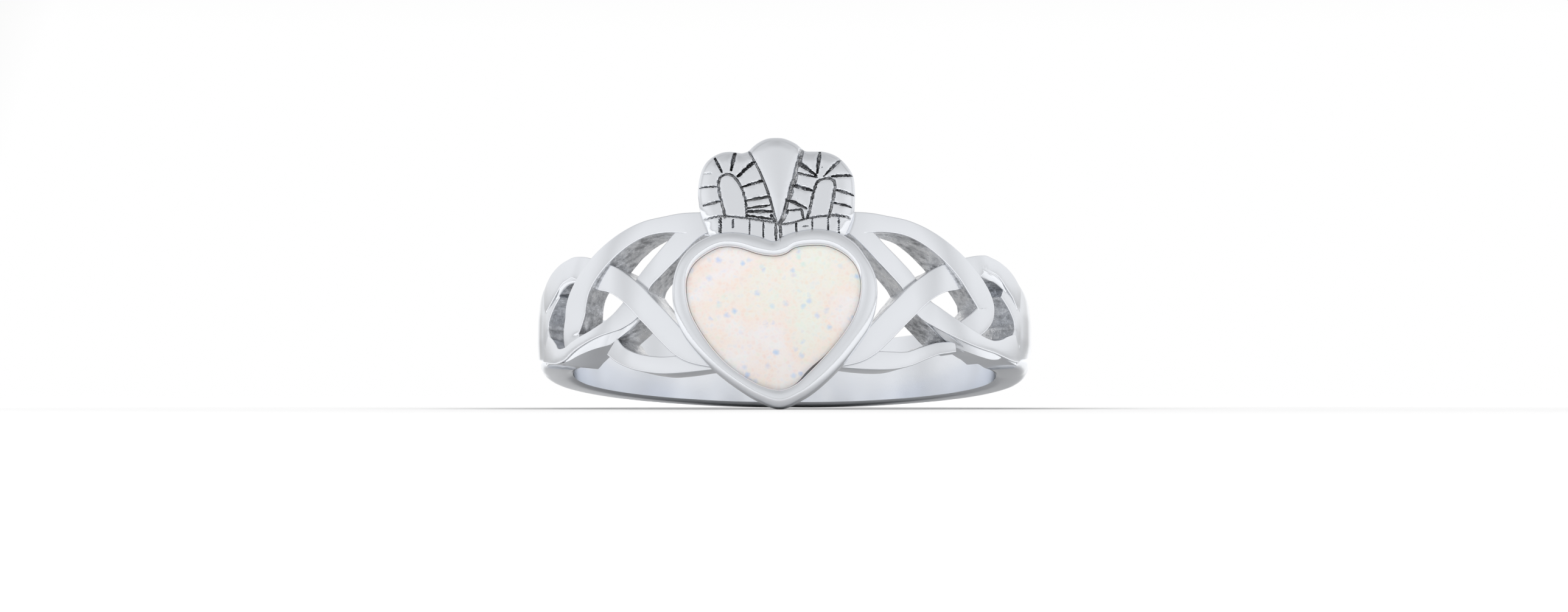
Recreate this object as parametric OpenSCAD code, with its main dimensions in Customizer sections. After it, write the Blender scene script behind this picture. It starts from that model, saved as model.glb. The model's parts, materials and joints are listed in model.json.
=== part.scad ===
// Silver ring in the claddagh manner: a crown over a heart-shaped opal in a plain rim, with
// woven knot shoulders in place of the usual hands, and a plain band round the back.
// The ring lies on its side as it rests on a table. The point of the heart and the back of the
// band touch the table, so the finger axis leans a little and the crown points up.
// The origin is the middle of the finger hole. The heart looks towards -Y.

/* [Finger hole and band] */
// Diameter of the finger hole
bore_d = 17.3; // [16.5:0.1:18.5]
// Metal thickness of the band from the finger hole outward
band_t = 1.45; // [1.2:0.05:1.7]
// Width of the band behind the finger
back_w = 2.76; // [2.4:0.02:3]
// Width of the band where the woven shoulders start
side_w = 3.3; // [3:0.05:3.5]
// How far the long edges of the band are rounded off
band_round = 0.45; // [0.3:0.05:0.55]
// Small bevel where the finger hole meets the edge of the band
bore_bevel = 0.1; // [0.05:0.05:0.2]

/* [Woven shoulders] */
// Height of the weave across the finger
weave_h = 6.2; // [5.8:0.1:6.6]
// Angle round the finger from the middle of the heart to the end of the weave
weave_reach = 70; // [67:1:73]
// Width of a strand at its plain stretches
strand_w = 0.95; // [0.85:0.05:1.05]
// How far a strand dips where it passes under another
strand_dip = 0.5; // [0.3:0.05:0.6]
// How far a strand stands over the band where it passes over another
strand_rise = 0.15; // [0.05:0.05:0.25]
// How far a strand's sides lean in towards the finger hole, as a share of its half width
strand_lean = 0.45; // [0:0.05:0.55]
// Bevel along the outer edges of every strand
strand_bevel = 0.12; // [0.08:0.02:0.16]

/* [Heart] */
// Width of the opal heart
heart_w = 6.52; // [6:0.1:7]
// Height of the opal heart from its lobes to its point
heart_h = 5.45; // [5:0.05:5.8]
// How far the middle of the heart sits below the middle of the band
heart_drop = 1.05; // [0.8:0.05:1.3]
// How far the crest of the rim stands out from the finger axis
head_out = 11.12; // [10.9:0.02:11.4]
// Width of the metal rim round the opal
rim_w = 0.64; // [0.5:0.02:0.75]
// How far the rim's outer edge falls away from its crest
rim_dome = 0.22; // [0.14:0.02:0.3]
// Height of the rim's upright outer wall
rim_wall = 0.45; // [0.3:0.05:0.6]
// How deep the opal's edge sits under the crest of the rim
opal_sink = 0.34; // [0.25:0.01:0.45]
// Height of the opal's dome over its own edge
opal_dome = 0.2; // [0.1:0.02:0.3]
// Thickness of the opal at its edge
opal_t = 0.9; // [0.7:0.05:1.1]
// Gap between the opal and its seat, round its side and beneath it
opal_gap = 0.03; // [0.02:0.01:0.06]

/* [Crown] */
// Width of the crown over its two side lobes
crown_w = 5.94; // [5.5:0.02:6.3]
// Height of the crown's middle lobe over the middle of the band
crown_top = 5.9; // [5.6:0.05:6.2]
// Thickness of the crown from front to back
crown_t = 1.5; // [1.2:0.05:1.8]
// How far the crown's face sits behind the crest of the rim
crown_back = 0.14; // [0.08:0.02:0.3]
// How deep the rounding of the crown's edge reaches
crown_edge = 0.25; // [0.15:0.05:0.35]
// How far the crown stands off centre towards +X
crown_shift = 0.08; // [-0.1:0.02:0.1]
// Width of the lines cut into the crown
line_w = 0.1; // [0.08:0.01:0.14]
// Depth of the lines cut into the crown
line_d = 0.14; // [0.08:0.02:0.2]

/* [Hidden] */

bore_r = bore_d / 2;
band_r = bore_r + band_t;
weave_half = weave_h / 2;
// Everything reaches a little inside the finger hole, so that one cylinder cuts it all true.
inside = 0.35;
core_r = bore_r - inside;
curve_steps = 2;
band_steps = 36;
bore_facets = 120;
bore_reach = 40;
// The one-skin step works at this many times full size, to keep its thinnest facets sound.
fine = 50;

// Woven strands, one row per point of a strand's middle line.
// Columns: share of weave_reach, share of half the weave's height, width as a share of strand_w,
// lift as a share of the way from a dipped strand to a raised one, and where a strand's lower
// side is a broad facet, the width of that facet as a share of strand_w.
// The arc leaves the crown, runs over the top, turns at the side and comes back below the heart.
ARC = [
    [0.20, 0.90, 1.00, 0.50],
    [0.29, 0.93, 0.84, 0.75],
    [0.36, 0.93, 0.68, 0.80],
    [0.43, 0.90, 0.66, 0.85],
    [0.50, 0.81, 0.70, 0.90],
    [0.57, 0.67, 0.78, 0.95],
    [0.645, 0.485, 0.92, 0.95],
    [0.71, 0.28, 1.14, 0.85],
    [0.765, 0.06, 1.38, 0.60],
    [0.775, -0.14, 1.26, 0.30],
    [0.74, -0.32, 1.05, 0.05],
    [0.675, -0.46, 0.95, 0.00],
    [0.60, -0.56, 0.84, 0.20],
    [0.52, -0.67, 0.74, 0.55],
    [0.44, -0.75, 0.72, 0.70],
    [0.365, -0.78, 0.72, 0.70],
    [0.29, -0.78, 0.74, 0.65],
    [0.21, -0.74, 0.84, 0.50]
];
// The low ribbon leaves the crown, passes under the crossing and over the arc to the band.
LOW = [
    [0.18, 1.00, 0.95, 0.40, 0.00],
    [0.245, 0.89, 0.89, 0.60, 0.00],
    [0.29, 0.75, 0.84, 0.70, 0.00],
    [0.335, 0.58, 0.82, 0.70, 0.00],
    [0.385, 0.41, 0.80, 0.55, 0.00],
    [0.44, 0.25, 0.78, 0.25, 0.00],
    [0.49, 0.08, 0.78, 0.05, 0.00],
    [0.53, -0.07, 0.82, 0.25, 0.00],
    [0.56, -0.19, 0.96, 0.70, 0.05],
    [0.595, -0.30, 1.20, 0.95, 0.25],
    [0.645, -0.38, 1.36, 1.00, 0.50],
    [0.705, -0.42, 1.32, 0.95, 0.50],
    [0.765, -0.43, 1.18, 0.90, 0.40],
    [0.83, -0.43, 1.06, 0.85, 0.25],
    [0.895, -0.38, 1.12, 0.80, 0.10],
    [0.95, -0.30, 1.22, 0.75, 0.00],
    [1.01, -0.25, 1.30, 0.72, 0.00],
    [1.10, -0.20, 1.15, 0.55, 0.00]
];
// The high ribbon leaves the band, passes under the arc and over the crossing to the heart.
HIGH = [
    [1.10, 0.20, 1.15, 0.55],
    [1.03, 0.27, 1.35, 0.72],
    [0.975, 0.35, 1.28, 0.75],
    [0.91, 0.47, 1.02, 0.80],
    [0.85, 0.56, 0.84, 0.80],
    [0.80, 0.60, 0.74, 0.70],
    [0.765, 0.605, 0.68, 0.30],
    [0.715, 0.54, 0.70, 0.05],
    [0.645, 0.43, 0.82, 0.20],
    [0.56, 0.32, 0.95, 0.60],
    [0.505, 0.20, 1.00, 0.90],
    [0.455, 0.05, 1.02, 1.00],
    [0.415, -0.11, 1.02, 0.98],
    [0.375, -0.27, 1.02, 0.90],
    [0.335, -0.44, 1.00, 0.80],
    [0.295, -0.60, 0.92, 0.70],
    [0.255, -0.71, 0.80, 0.50],
    [0.21, -0.75, 0.70, 0.40]
];
// Half width of the band, one row per place.
// Columns: share of the way from the end of the weave to the middle of the back,
// share of the way from back_w to side_w.
BAND = [
    [0.00, 0.50],
    [0.09, 0.90],
    [0.20, 1.00],
    [0.32, 0.90],
    [0.45, 0.65],
    [0.59, 0.40],
    [0.73, 0.20],
    [1.00, 0.00]
];
// Rounded long edge of the band, from its side to its outer face.
// Columns: how far in from the side and how far under the outer face, as shares of band_round.
BAND_SIDE = [
    [0.00, 1.00],
    [0.25, 0.45],
    [0.75, 0.15]
];
// The band's outer face is at its full height over this share of its width.
band_flat = 0.33;

// A strand's upper edges: the bevel starts at full depth on the side and ends at this share of it.
bevel_end = 0.2;
// How high a strand's leaning side bends, as a share of the way from the bore to its face.
side_bend = 0.6;
facet_bend = 0.4;
// Where a broad facet is widest and where it ends, as shares of its width.
facet_foot = 0.2;
facet_knee = 0.75;

// Outline of the opal and of the rim round it, clockwise from the cleft.
// Columns: opal across and up as shares of half its width and half its height,
// the rim's outer edge from there, across and up, as shares of rim_w.
HEART = [
    [0.01, 0.85, -0.05, 0.94],
    [0.14, 0.88, -0.10, 1.15],
    [0.26, 0.97, 0.05, 1.02],
    [0.46, 1.00, 0.15, 1.04],
    [0.64, 0.98, 0.41, 0.94],
    [0.81, 0.88, 0.61, 0.72],
    [0.93, 0.74, 0.71, 0.43],
    [0.99, 0.57, 0.92, 0.17],
    [1.00, 0.39, 1.02, -0.09],
    [0.97, 0.17, 1.04, -0.26],
    [0.895, -0.05, 1.04, -0.43],
    [0.765, -0.285, 1.02, -0.49],
    [0.60, -0.525, 0.92, -0.66],
    [0.415, -0.76, 0.76, -0.75],
    [0.26, -0.93, 0.46, -0.83],
    [0.09, -1.00, 0.00, -1.09],
    [-0.11, -0.95, -0.31, -0.85],
    [-0.31, -0.825, -0.53, -0.62],
    [-0.505, -0.655, -0.71, -0.45],
    [-0.675, -0.44, -0.89, -0.36],
    [-0.82, -0.20, -0.97, -0.34],
    [-0.935, 0.055, -0.94, -0.23],
    [-0.99, 0.31, -0.87, -0.06],
    [-0.99, 0.53, -0.81, 0.17],
    [-0.92, 0.725, -0.76, 0.43],
    [-0.78, 0.875, -0.64, 0.68],
    [-0.60, 0.975, -0.31, 0.85],
    [-0.40, 0.965, -0.08, 0.98],
    [-0.18, 0.88, 0.05, 1.11]
];
// Section of the rim from the foot of its bevel inward over its crest to the opal.
// Columns: share of the way from the opal's edge to the rim's outer edge,
// depth under the crest as a share of rim_dome.
RIM = [
    [1.00, 1.90],
    [0.94, 1.00],
    [0.74, 0.27],
    [0.42, 0.00],
    [0.16, 0.55]
];
// The setting draws in to this share of its outline where it meets the finger hole.
rim_foot = 0.72;
// The weave and the crown stop inside the rim, at this share of its width.
room_side = 0.35;
// Upper side of the opal from its girdle to its middle.
// Columns: share of the outline, height over the edge as a share of opal_dome.
OPAL = [
    [1.00, -0.30],
    [0.975, 0.15],
    [0.82, 0.55],
    [0.55, 0.85],
    [0.25, 1.00]
];

// Half outline of the crown from the top of the middle lobe down to the heart's cleft.
// Columns: share of half the crown's width, share of the way from the cleft to crown_top.
// The last four rows lie under the crest of the rim.
CROWN = [
    [0.00, 1.00],
    [0.13, 0.985],
    [0.24, 0.935],
    [0.32, 0.885],
    [0.38, 0.865],
    [0.46, 0.865],
    [0.58, 0.875],
    [0.70, 0.85],
    [0.81, 0.80],
    [0.91, 0.725],
    [0.97, 0.635],
    [1.00, 0.535],
    [0.995, 0.425],
    [0.97, 0.31],
    [0.91, 0.21],
    [0.85, 0.115],
    [0.77, 0.04],
    [0.45, 0.06],
    [0.20, 0.01],
    [0.00, -0.04]
];
// The crown's rounded edge, from its side to its face.
// Columns: depth under the face as a share of crown_edge, share of the outline.
CROWN_EDGE = [
    [1.00, 1.00],
    [0.40, 0.99],
    [0.00, 0.95]
];
// Middle that the crown's outline draws in to, as a share of the way up from the cleft.
crown_middle = 0.465;
// Where the crown's foot sits on the rim: share of the way from the opal's edge to the outer edge.
crown_seat = 0.74;
// Lines cut into the right half of the crown; the left half mirrors them.
// Columns of each point: share of half the crown's width, share of the way up from the cleft.
FAN_EDGE = [[0.34, 0.90], [0.27, 0.745], [0.20, 0.59], [0.13, 0.425], [0.06, 0.28], [0.02, 0.21]];
TONGUE_EDGE = [
    [0.37, 0.24],
    [0.40, 0.38],
    [0.45, 0.52],
    [0.52, 0.62],
    [0.62, 0.66],
    [0.70, 0.62],
    [0.74, 0.52],
    [0.72, 0.38],
    [0.67, 0.255]
];
BAND_EDGE = [[0.00, 0.195], [0.20, 0.22], [0.40, 0.245], [0.65, 0.27], [0.93, 0.245]];
// Single cuts. Columns: across and up of one end, across and up of the other.
CUTS = [
    [0.28, 0.72, 0.43, 0.635],
    [0.53, 0.705, 0.53, 0.86],
    [0.66, 0.69, 0.78, 0.815],
    [0.75, 0.635, 0.93, 0.64],
    [0.77, 0.535, 0.97, 0.52],
    [0.77, 0.395, 0.95, 0.38],
    [0.25, 0.565, 0.41, 0.535],
    [0.20, 0.45, 0.38, 0.45],
    [0.14, 0.35, 0.37, 0.35],
    [0.09, 0.275, 0.36, 0.28],
    [0.16, 0.10, 0.16, 0.195],
    [0.35, 0.115, 0.35, 0.225],
    [0.52, 0.125, 0.52, 0.255],
    [0.68, 0.125, 0.68, 0.26]
];

function mixed(a, b, t) = a + (b - a) * t;
// A smooth curve through rows of numbers, at a share of the way from the second to the third.
function curve(a, b, c, d, t) =
    b + (c - a) * t / 2 + (2 * a - 5 * b + 4 * c - d) * t * t / 2
    + (3 * b - a - 3 * c + d) * t * t * t / 2;
function eased(rows, steps) = [
    for (i = [0:len(rows) - 2])
        for (k = [0:steps - 1])
            curve(rows[max(i - 1, 0)], rows[i], rows[i + 1], rows[min(i + 2, len(rows) - 1)], k / steps),
    rows[len(rows) - 1]
];
function eased_loop(rows, steps) = let (n = len(rows)) [
    for (i = [0:n - 1])
        for (k = [0:steps - 1])
            curve(rows[(i + n - 1) % n], rows[i], rows[(i + 1) % n], rows[(i + 2) % n], k / steps)
];
// A point at an angle round the finger, a distance from the axis and a height along it.
function round_finger(angle, r, z) = [r * sin(angle), -r * cos(angle), z];

// A skin over rings of points that all have the same count, closed by a flat face at each end.
module skin(rings) {
    n = len(rings[0]);
    last = len(rings) - 1;
    polyhedron(
        points = [for (ring = rings) for (p = ring) p],
        faces = concat(
            [[for (j = [n - 1:-1:0]) j]],
            [
                for (i = [0:last - 1])
                    for (j = [0:n - 1])
                        let (k = (j + 1) % n)
                        for (f = [
                            [i * n + j, i * n + k, (i + 1) * n + k],
                            [i * n + j, (i + 1) * n + k, (i + 1) * n + j]
                        ]) f
            ],
            [[for (j = [0:n - 1]) last * n + j]]
        ),
        convexity = 8
    );
}

function band_half(share) = mixed(back_w, side_w, lookup(share, BAND)) / 2;
// The band's section at a half width, from the bore round its outer face and back.
function band_section(h) = let (
    side = concat(
        [[h - bore_bevel * 3, core_r], [h, bore_r + bore_bevel * 2]],
        [for (p = BAND_SIDE) [h - band_round * p[0], band_r - band_round * p[1]]],
        [[h * band_flat, band_r]]
    )
) concat(
    [for (p = side) [-p[0], p[1]]],
    [for (i = [len(side) - 1:-1:0]) side[i]]
);
module band() {
    color("silver") skin([
        for (i = [-1:2 / band_steps:1])
            [
                for (p = band_section(band_half(1 - abs(i))))
                    round_finger(180 + (180 - weave_reach) * i, p[1], p[0])
            ]
    ]);
}

// A strand is swept along the cylinder's face; the width lies square to its own middle line.
function strand_place(row) = [
    row[0] * weave_reach * PI / 180 * band_r,
    row[1] * weave_half,
    row[2] * strand_w,
    band_r + mixed(-strand_dip, strand_rise, row[3]),
    len(row) > 4 ? row[4] * strand_w : 0
];
// Leans are shares of the half width by which the left and the right side draw in at the bore.
function strand_ring(before, here, after, left_lean, right_lean) = let (
    run = [after[0] - before[0], after[1] - before[1]],
    across = [-run[1], run[0]] / norm(run),
    w = here[2] / 2,
    r = here[3],
    facet = here[4],
    left_in = w * left_lean * max(0, 1 - facet / strand_bevel),
    bend = facet > 0 ? facet_bend : side_bend
) [
    for (p = [
        [-w + left_in, core_r],
        [-w + facet * facet_foot, mixed(bore_r, r, bend)],
        [-w + facet * facet_knee, r - strand_bevel * (1 + facet)],
        [-w + facet + strand_bevel, r - strand_bevel * bevel_end],
        [facet / 2, r],
        [w - strand_bevel, r - strand_bevel * bevel_end],
        [w, r - strand_bevel],
        [w * (1 - right_lean), core_r]
    ]) round_finger((here[0] + across[0] * p[0]) / band_r * 180 / PI, p[1], here[1] + across[1] * p[0])
];
module strand(rows, left_lean, right_lean) {
    path = [for (row = eased(rows, curve_steps)) strand_place(row)];
    last = len(path) - 1;
    skin([
        for (i = [0:last])
            strand_ring(path[max(i - 1, 0)], path[i], path[min(i + 1, last)], left_lean, right_lean)
    ]);
}
module knot() {
    color("lightsteelblue") strand(ARC, strand_lean, 0);
    color("lightblue") strand(LOW, strand_lean, strand_lean);
    color("lightcyan") strand(HIGH, strand_lean, strand_lean);
}
module shoulders() {
    knot();
    mirror([1, 0, 0]) knot();
}

heart_rows = eased_loop(HEART, curve_steps);
// Heart outline at a share of the way from the opal's edge to the rim's outer edge.
function heart_loop(share, depth, size = 1) = [
    for (row = heart_rows)
        [
            (row[0] * heart_w / 2 + row[2] * rim_w * share) * size,
            -depth,
            (row[1] * heart_h / 2 + row[3] * rim_w * share) * size - heart_drop
        ]
];
opal_edge = head_out - opal_sink;
opal_back = opal_edge - opal_t;
rim_back = head_out - rim_dome - rim_wall;
pocket_floor = opal_back - opal_gap;
pocket_side = opal_gap / rim_w;
// The rim with the opal's pocket sunk in it.
module heart_setting() {
    color("gainsboro") skin(concat(
        [heart_loop(1, core_r, rim_foot), heart_loop(1, rim_back)],
        [for (p = RIM) heart_loop(p[0], head_out - rim_dome * p[1])],
        [heart_loop(pocket_side, opal_edge + opal_gap), heart_loop(pocket_side, pocket_floor)]
    ));
}
// What the other pieces of the metal leave free: the pocket, out to the middle of the rim.
module pocket_room() {
    skin([
        heart_loop(room_side, pocket_floor - opal_gap),
        heart_loop(room_side, head_out + opal_sink)
    ]);
}
module opal() {
    color("bisque") skin(concat(
        [heart_loop(0, opal_back)],
        [for (p = OPAL) heart_loop(0, opal_edge + opal_dome * p[1], p[0])]
    ));
}

crown_face = head_out - crown_back;
crown_foot = heart_loop(crown_seat, 0)[0][2];
crown_half = concat(
    CROWN,
    [for (i = [len(CROWN) - 2:-1:1]) [-CROWN[i][0], CROWN[i][1]]]
);
function crown_spot(row) = [row[0] * crown_w / 2, mixed(crown_foot, crown_top, row[1])];
function crown_loop(depth, size) = [
    for (row = crown_half)
        let (p = crown_spot([row[0] * size, mixed(crown_middle, row[1], size)]))
        [p[0] + crown_shift, -depth, p[1]]
];
// A strip of even width along a line of points.
function strip(points, w) = let (
    last = len(points) - 1,
    sides = [
        for (i = [0:last])
            let (run = points[min(i + 1, last)] - points[max(i - 1, 0)])
            [-run[1], run[0]] / norm(run) * w / 2
    ]
) concat(
    [for (i = [0:last]) points[i] + sides[i]],
    [for (i = [last:-1:0]) points[i] - sides[i]]
);
module crown_cut(rows) {
    rotate([90, 0, 0])
        translate([0, 0, crown_face - line_d])
            linear_extrude(height = line_d + crown_back)
                polygon(strip([for (row = rows) crown_spot(row)], line_w));
}
module crown_lines() {
    crown_cut(FAN_EDGE);
    crown_cut(TONGUE_EDGE);
    crown_cut(BAND_EDGE);
    for (row = CUTS)
        crown_cut([[row[0], row[1]], [row[2], row[3]]]);
}
module crown() {
    color("whitesmoke") difference() {
        skin(concat(
            [crown_loop(crown_face - crown_t, 1)],
            [for (p = CROWN_EDGE) crown_loop(crown_face - crown_edge * p[0], p[1])]
        ));
        translate([crown_shift, 0, 0]) {
            crown_lines();
            mirror([1, 0, 0]) crown_lines();
        }
    }
}

// The pose: the point of the heart and the lower edge of the band's back touch the table.
heart_tip = -min([for (p = heart_loop(1, rim_back)) p[2]]);
back_touch = band_r - band_round;
tilt = atan((heart_tip - back_w / 2) / (rim_back + back_touch));
module lie_down() {
    rotate([-tilt, 0, 0]) children();
}
// One closed skin over everything in it: all the cast pieces make a single solid of metal.
module one_skin() {
    scale(1 / fine) resize([0, 0, 0]) scale(fine) children();
}
module silver_ring() {
    lie_down() difference() {
        one_skin() union() {
            difference() {
                union() {
                    band();
                    shoulders();
                    crown();
                }
                pocket_room();
            }
            heart_setting();
        }
        cylinder(r = bore_r, h = bore_reach, center = true, $fn = bore_facets);
    }
}
module opal_heart() {
    lie_down() one_skin() opal();
}

silver_ring();
opal_heart();
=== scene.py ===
"""Looks for the claddagh ring: the cast silver as one fine fused mesh, and the opal heart.

Everything is first built in the ring's own frame, in millimetres: Z along the finger, the crown
towards +Z and the heart towards -Y. lay_down() then tips it into the part's frame, in metres.
"""

import json
import math

import bpy
import numpy as np
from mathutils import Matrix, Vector


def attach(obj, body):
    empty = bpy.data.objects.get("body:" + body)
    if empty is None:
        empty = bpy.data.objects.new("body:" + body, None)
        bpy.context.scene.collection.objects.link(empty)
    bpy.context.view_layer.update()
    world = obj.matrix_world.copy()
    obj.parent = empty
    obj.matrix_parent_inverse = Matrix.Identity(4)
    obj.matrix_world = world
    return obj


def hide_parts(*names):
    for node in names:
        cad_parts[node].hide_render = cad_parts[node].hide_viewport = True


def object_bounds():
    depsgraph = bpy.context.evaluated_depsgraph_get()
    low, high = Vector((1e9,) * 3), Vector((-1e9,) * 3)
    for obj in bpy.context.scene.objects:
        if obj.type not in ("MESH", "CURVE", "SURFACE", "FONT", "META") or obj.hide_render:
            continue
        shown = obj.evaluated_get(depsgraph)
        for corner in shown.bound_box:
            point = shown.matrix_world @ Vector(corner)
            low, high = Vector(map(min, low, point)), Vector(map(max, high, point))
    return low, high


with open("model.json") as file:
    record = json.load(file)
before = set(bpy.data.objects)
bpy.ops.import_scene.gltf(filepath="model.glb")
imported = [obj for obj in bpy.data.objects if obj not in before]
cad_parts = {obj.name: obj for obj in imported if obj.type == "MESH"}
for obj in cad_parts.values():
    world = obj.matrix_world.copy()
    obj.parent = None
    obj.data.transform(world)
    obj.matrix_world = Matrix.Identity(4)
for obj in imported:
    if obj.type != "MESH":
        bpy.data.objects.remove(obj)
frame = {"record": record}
cad_box = [list(corner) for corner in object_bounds()]

MM = 0.001
BORE_R = 8.65
BAND_R = 10.10
CORE_R = 8.30
HEAD_OUT = 11.107
WEAVE_REACH = math.radians(70)
WEAVE_HALF = 3.1
STRAND_W = 0.95
STRAND_DIP = 0.5
STRAND_RISE = 0.15
STRAND_BEVEL = 0.05
BACK_W = 2.76
SIDE_W = 3.3
BAND_ROUND = 0.45
BORE_BEVEL = 0.1
HEART_W = 6.52
HEART_H = 5.45
HEART_DROP = 1.05
RIM_W = 0.64
RIM_DOME = 0.22
RIM_WALL = 0.45
OPAL_SINK = 0.17
OPAL_DOME = 0.13
OPAL_T = 0.9
OPAL_GAP = 0.03
CROWN_FACE = HEAD_OUT - 0.14
CROWN_BACK = CROWN_FACE - 1.5
TILT = math.asin(frame["record"]["mounts"][0]["axis"][1])

# Woven strands, one row per point of a strand's middle line: share of the weave's reach round
# the finger, share of half its height, width in strand widths, lift from dipped (0) to raised (1).
# The arc leaves the crown's side, runs along the top and turns down at the far end.
ARC = [
    (0.20, 0.90, 1.00, 0.50), (0.29, 0.93, 0.84, 0.75), (0.36, 0.93, 0.68, 0.80),
    (0.43, 0.90, 0.66, 0.85), (0.50, 0.81, 0.72, 0.90), (0.57, 0.67, 0.82, 0.95),
    (0.645, 0.485, 0.96, 0.93), (0.71, 0.28, 1.14, 0.90),
]
ARC_LEFT = ARC + [
    (0.765, 0.06, 1.34, 0.87), (0.775, -0.14, 1.24, 0.86), (0.772, -0.28, 1.20, 0.84),
    (0.758, -0.41, 1.12, 0.80),
]
ARC_RIGHT = ARC + [
    (0.752, 0.13, 1.16, 0.87), (0.762, 0.03, 1.14, 0.86), (0.742, -0.08, 1.08, 0.85),
    (0.705, -0.19, 1.03, 0.82), (0.66, -0.30, 0.98, 0.76),
]
# The foot is the same strand's other end, along the bottom back to the heart's point.
FOOT_LEFT = [
    (0.553, -0.534, 0.82, 0.84), (0.523, -0.635, 0.72, 0.82), (0.49, -0.705, 0.68, 0.82),
    (0.45, -0.765, 0.68, 0.78), (0.40, -0.810, 0.68, 0.74), (0.35, -0.832, 0.70, 0.68),
    (0.28, -0.82, 0.76, 0.58), (0.19, -0.78, 0.84, 0.40),
]
FOOT_RIGHT = [
    (0.618, -0.508, 0.42, 0.72), (0.588, -0.53, 0.46, 0.74), (0.542, -0.566, 0.50, 0.77),
    (0.487, -0.645, 0.55, 0.80), (0.43, -0.735, 0.60, 0.80), (0.366, -0.772, 0.74, 0.74),
    (0.28, -0.775, 0.80, 0.60), (0.19, -0.75, 0.84, 0.40),
]
# The low strand falls from beside the crown to the bottom of the far end.
LOW = [
    (0.18, 1.00, 0.95, 0.50), (0.245, 0.89, 0.89, 0.65), (0.29, 0.75, 0.86, 0.72),
    (0.335, 0.58, 0.84, 0.74), (0.385, 0.41, 0.82, 0.70), (0.44, 0.22, 0.80, 0.62),
]
LOW_LEFT = LOW + [
    (0.478, -0.05, 1.04, 0.66), (0.52, -0.19, 0.88, 0.80), (0.56, -0.262, 0.64, 0.92),
    (0.60, -0.308, 0.50, 0.98), (0.645, -0.355, 0.43, 1.00), (0.70, -0.405, 0.45, 0.98),
    (0.75, -0.452, 0.50, 0.93), (0.80, -0.505, 0.56, 0.87), (0.86, -0.50, 0.66, 0.82),
    (0.90, -0.44, 0.92, 0.78), (0.95, -0.37, 1.12, 0.74), (1.01, -0.32, 1.12, 0.69),
    (1.10, -0.26, 0.95, 0.55), (1.20, -0.18, 0.70, 0.30),
]
LOW_RIGHT = LOW + [
    (0.49, -0.05, 0.92, 0.64), (0.54, -0.172, 0.88, 0.82), (0.60, -0.272, 0.78, 0.95),
    (0.65, -0.335, 0.70, 1.00), (0.70, -0.38, 0.62, 0.98), (0.755, -0.41, 0.54, 0.93),
    (0.805, -0.415, 0.54, 0.87), (0.86, -0.40, 0.74, 0.82), (0.91, -0.37, 1.00, 0.78),
    (0.96, -0.34, 1.15, 0.74), (1.02, -0.31, 1.15, 0.68), (1.10, -0.26, 0.95, 0.55),
    (1.20, -0.18, 0.70, 0.30),
]
# The link closes the outer opening, and the heel fills the corner under it towards the band.
LINK = [
    (0.88, 0.38, 0.80, 0.66), (0.945, 0.24, 0.88, 0.70), (0.99, 0.07, 0.90, 0.735),
    (1.00, -0.10, 0.90, 0.735), (0.98, -0.25, 0.90, 0.70), (0.965, -0.32, 0.80, 0.66),
]
HEEL = [
    (0.88, -0.46, 0.34, 0.50), (0.93, -0.455, 0.46, 0.60), (1.00, -0.455, 0.56, 0.60),
    (1.08, -0.43, 0.56, 0.40),
]
# The high strand rises from the heart's point to the top of the far end.
HIGH = [
    (1.22, 0.10, 0.70, 0.35), (1.12, 0.20, 0.90, 0.62), (1.04, 0.30, 1.10, 0.70),
    (0.975, 0.36, 1.22, 0.77), (0.91, 0.455, 1.16, 0.80), (0.85, 0.545, 0.94, 0.80),
    (0.80, 0.58, 0.88, 0.78), (0.765, 0.59, 0.90, 0.73), (0.715, 0.535, 1.08, 0.62),
    (0.645, 0.43, 1.20, 0.62), (0.56, 0.32, 1.08, 0.85), (0.505, 0.20, 1.02, 0.95),
    (0.455, 0.05, 1.02, 1.00), (0.415, -0.11, 1.02, 0.98), (0.375, -0.27, 1.02, 0.92),
    (0.335, -0.44, 1.00, 0.85), (0.295, -0.60, 0.94, 0.78), (0.25, -0.71, 0.84, 0.68),
    (0.17, -0.80, 0.70, 0.50),
]
# Sloping facets beside a strand, one row per station along it: share of the weave's reach, share
# of half its height and radius, of the crease, of a second crease and of the lower edge. The petal
# lies under the low strand, the wedge leads from it to the heart, the lens lines the outer opening.
PETAL_LEFT = [
    (0.808, -0.608, 10.10, 0.824, -0.605, 10.08, 0.838, -0.607, 10.02),
    (0.775, -0.560, 10.12, 0.795, -0.605, 10.09, 0.815, -0.642, 9.75),
    (0.740, -0.515, 10.14, 0.765, -0.597, 10.10, 0.790, -0.655, 9.40),
    (0.697, -0.471, 10.16, 0.728, -0.570, 10.10, 0.763, -0.640, 9.15),
    (0.650, -0.425, 10.17, 0.685, -0.543, 10.08, 0.738, -0.610, 9.00),
    (0.600, -0.375, 10.17, 0.640, -0.520, 10.06, 0.714, -0.576, 8.95),
    (0.560, -0.335, 10.16, 0.600, -0.506, 10.03, 0.690, -0.545, 8.95),
    (0.535, -0.320, 10.05, 0.570, -0.492, 9.95, 0.662, -0.512, 8.95),
]
WEDGE_LEFT = [
    (0.600, -0.375, 10.10, 0.638, -0.516, 9.98, 0.640, -0.520, 9.95),
    (0.554, -0.333, 10.15, 0.595, -0.502, 10.00, 0.597, -0.506, 9.93),
    (0.522, -0.303, 10.11, 0.570, -0.487, 9.99, 0.572, -0.491, 9.91),
    (0.491, -0.281, 10.04, 0.545, -0.446, 9.98, 0.549, -0.458, 9.90),
    (0.463, -0.248, 10.01, 0.491, -0.340, 9.97, 0.494, -0.350, 9.91),
    (0.446, -0.226, 9.98, 0.447, -0.230, 9.96, 0.449, -0.236, 9.92),
]
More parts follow.
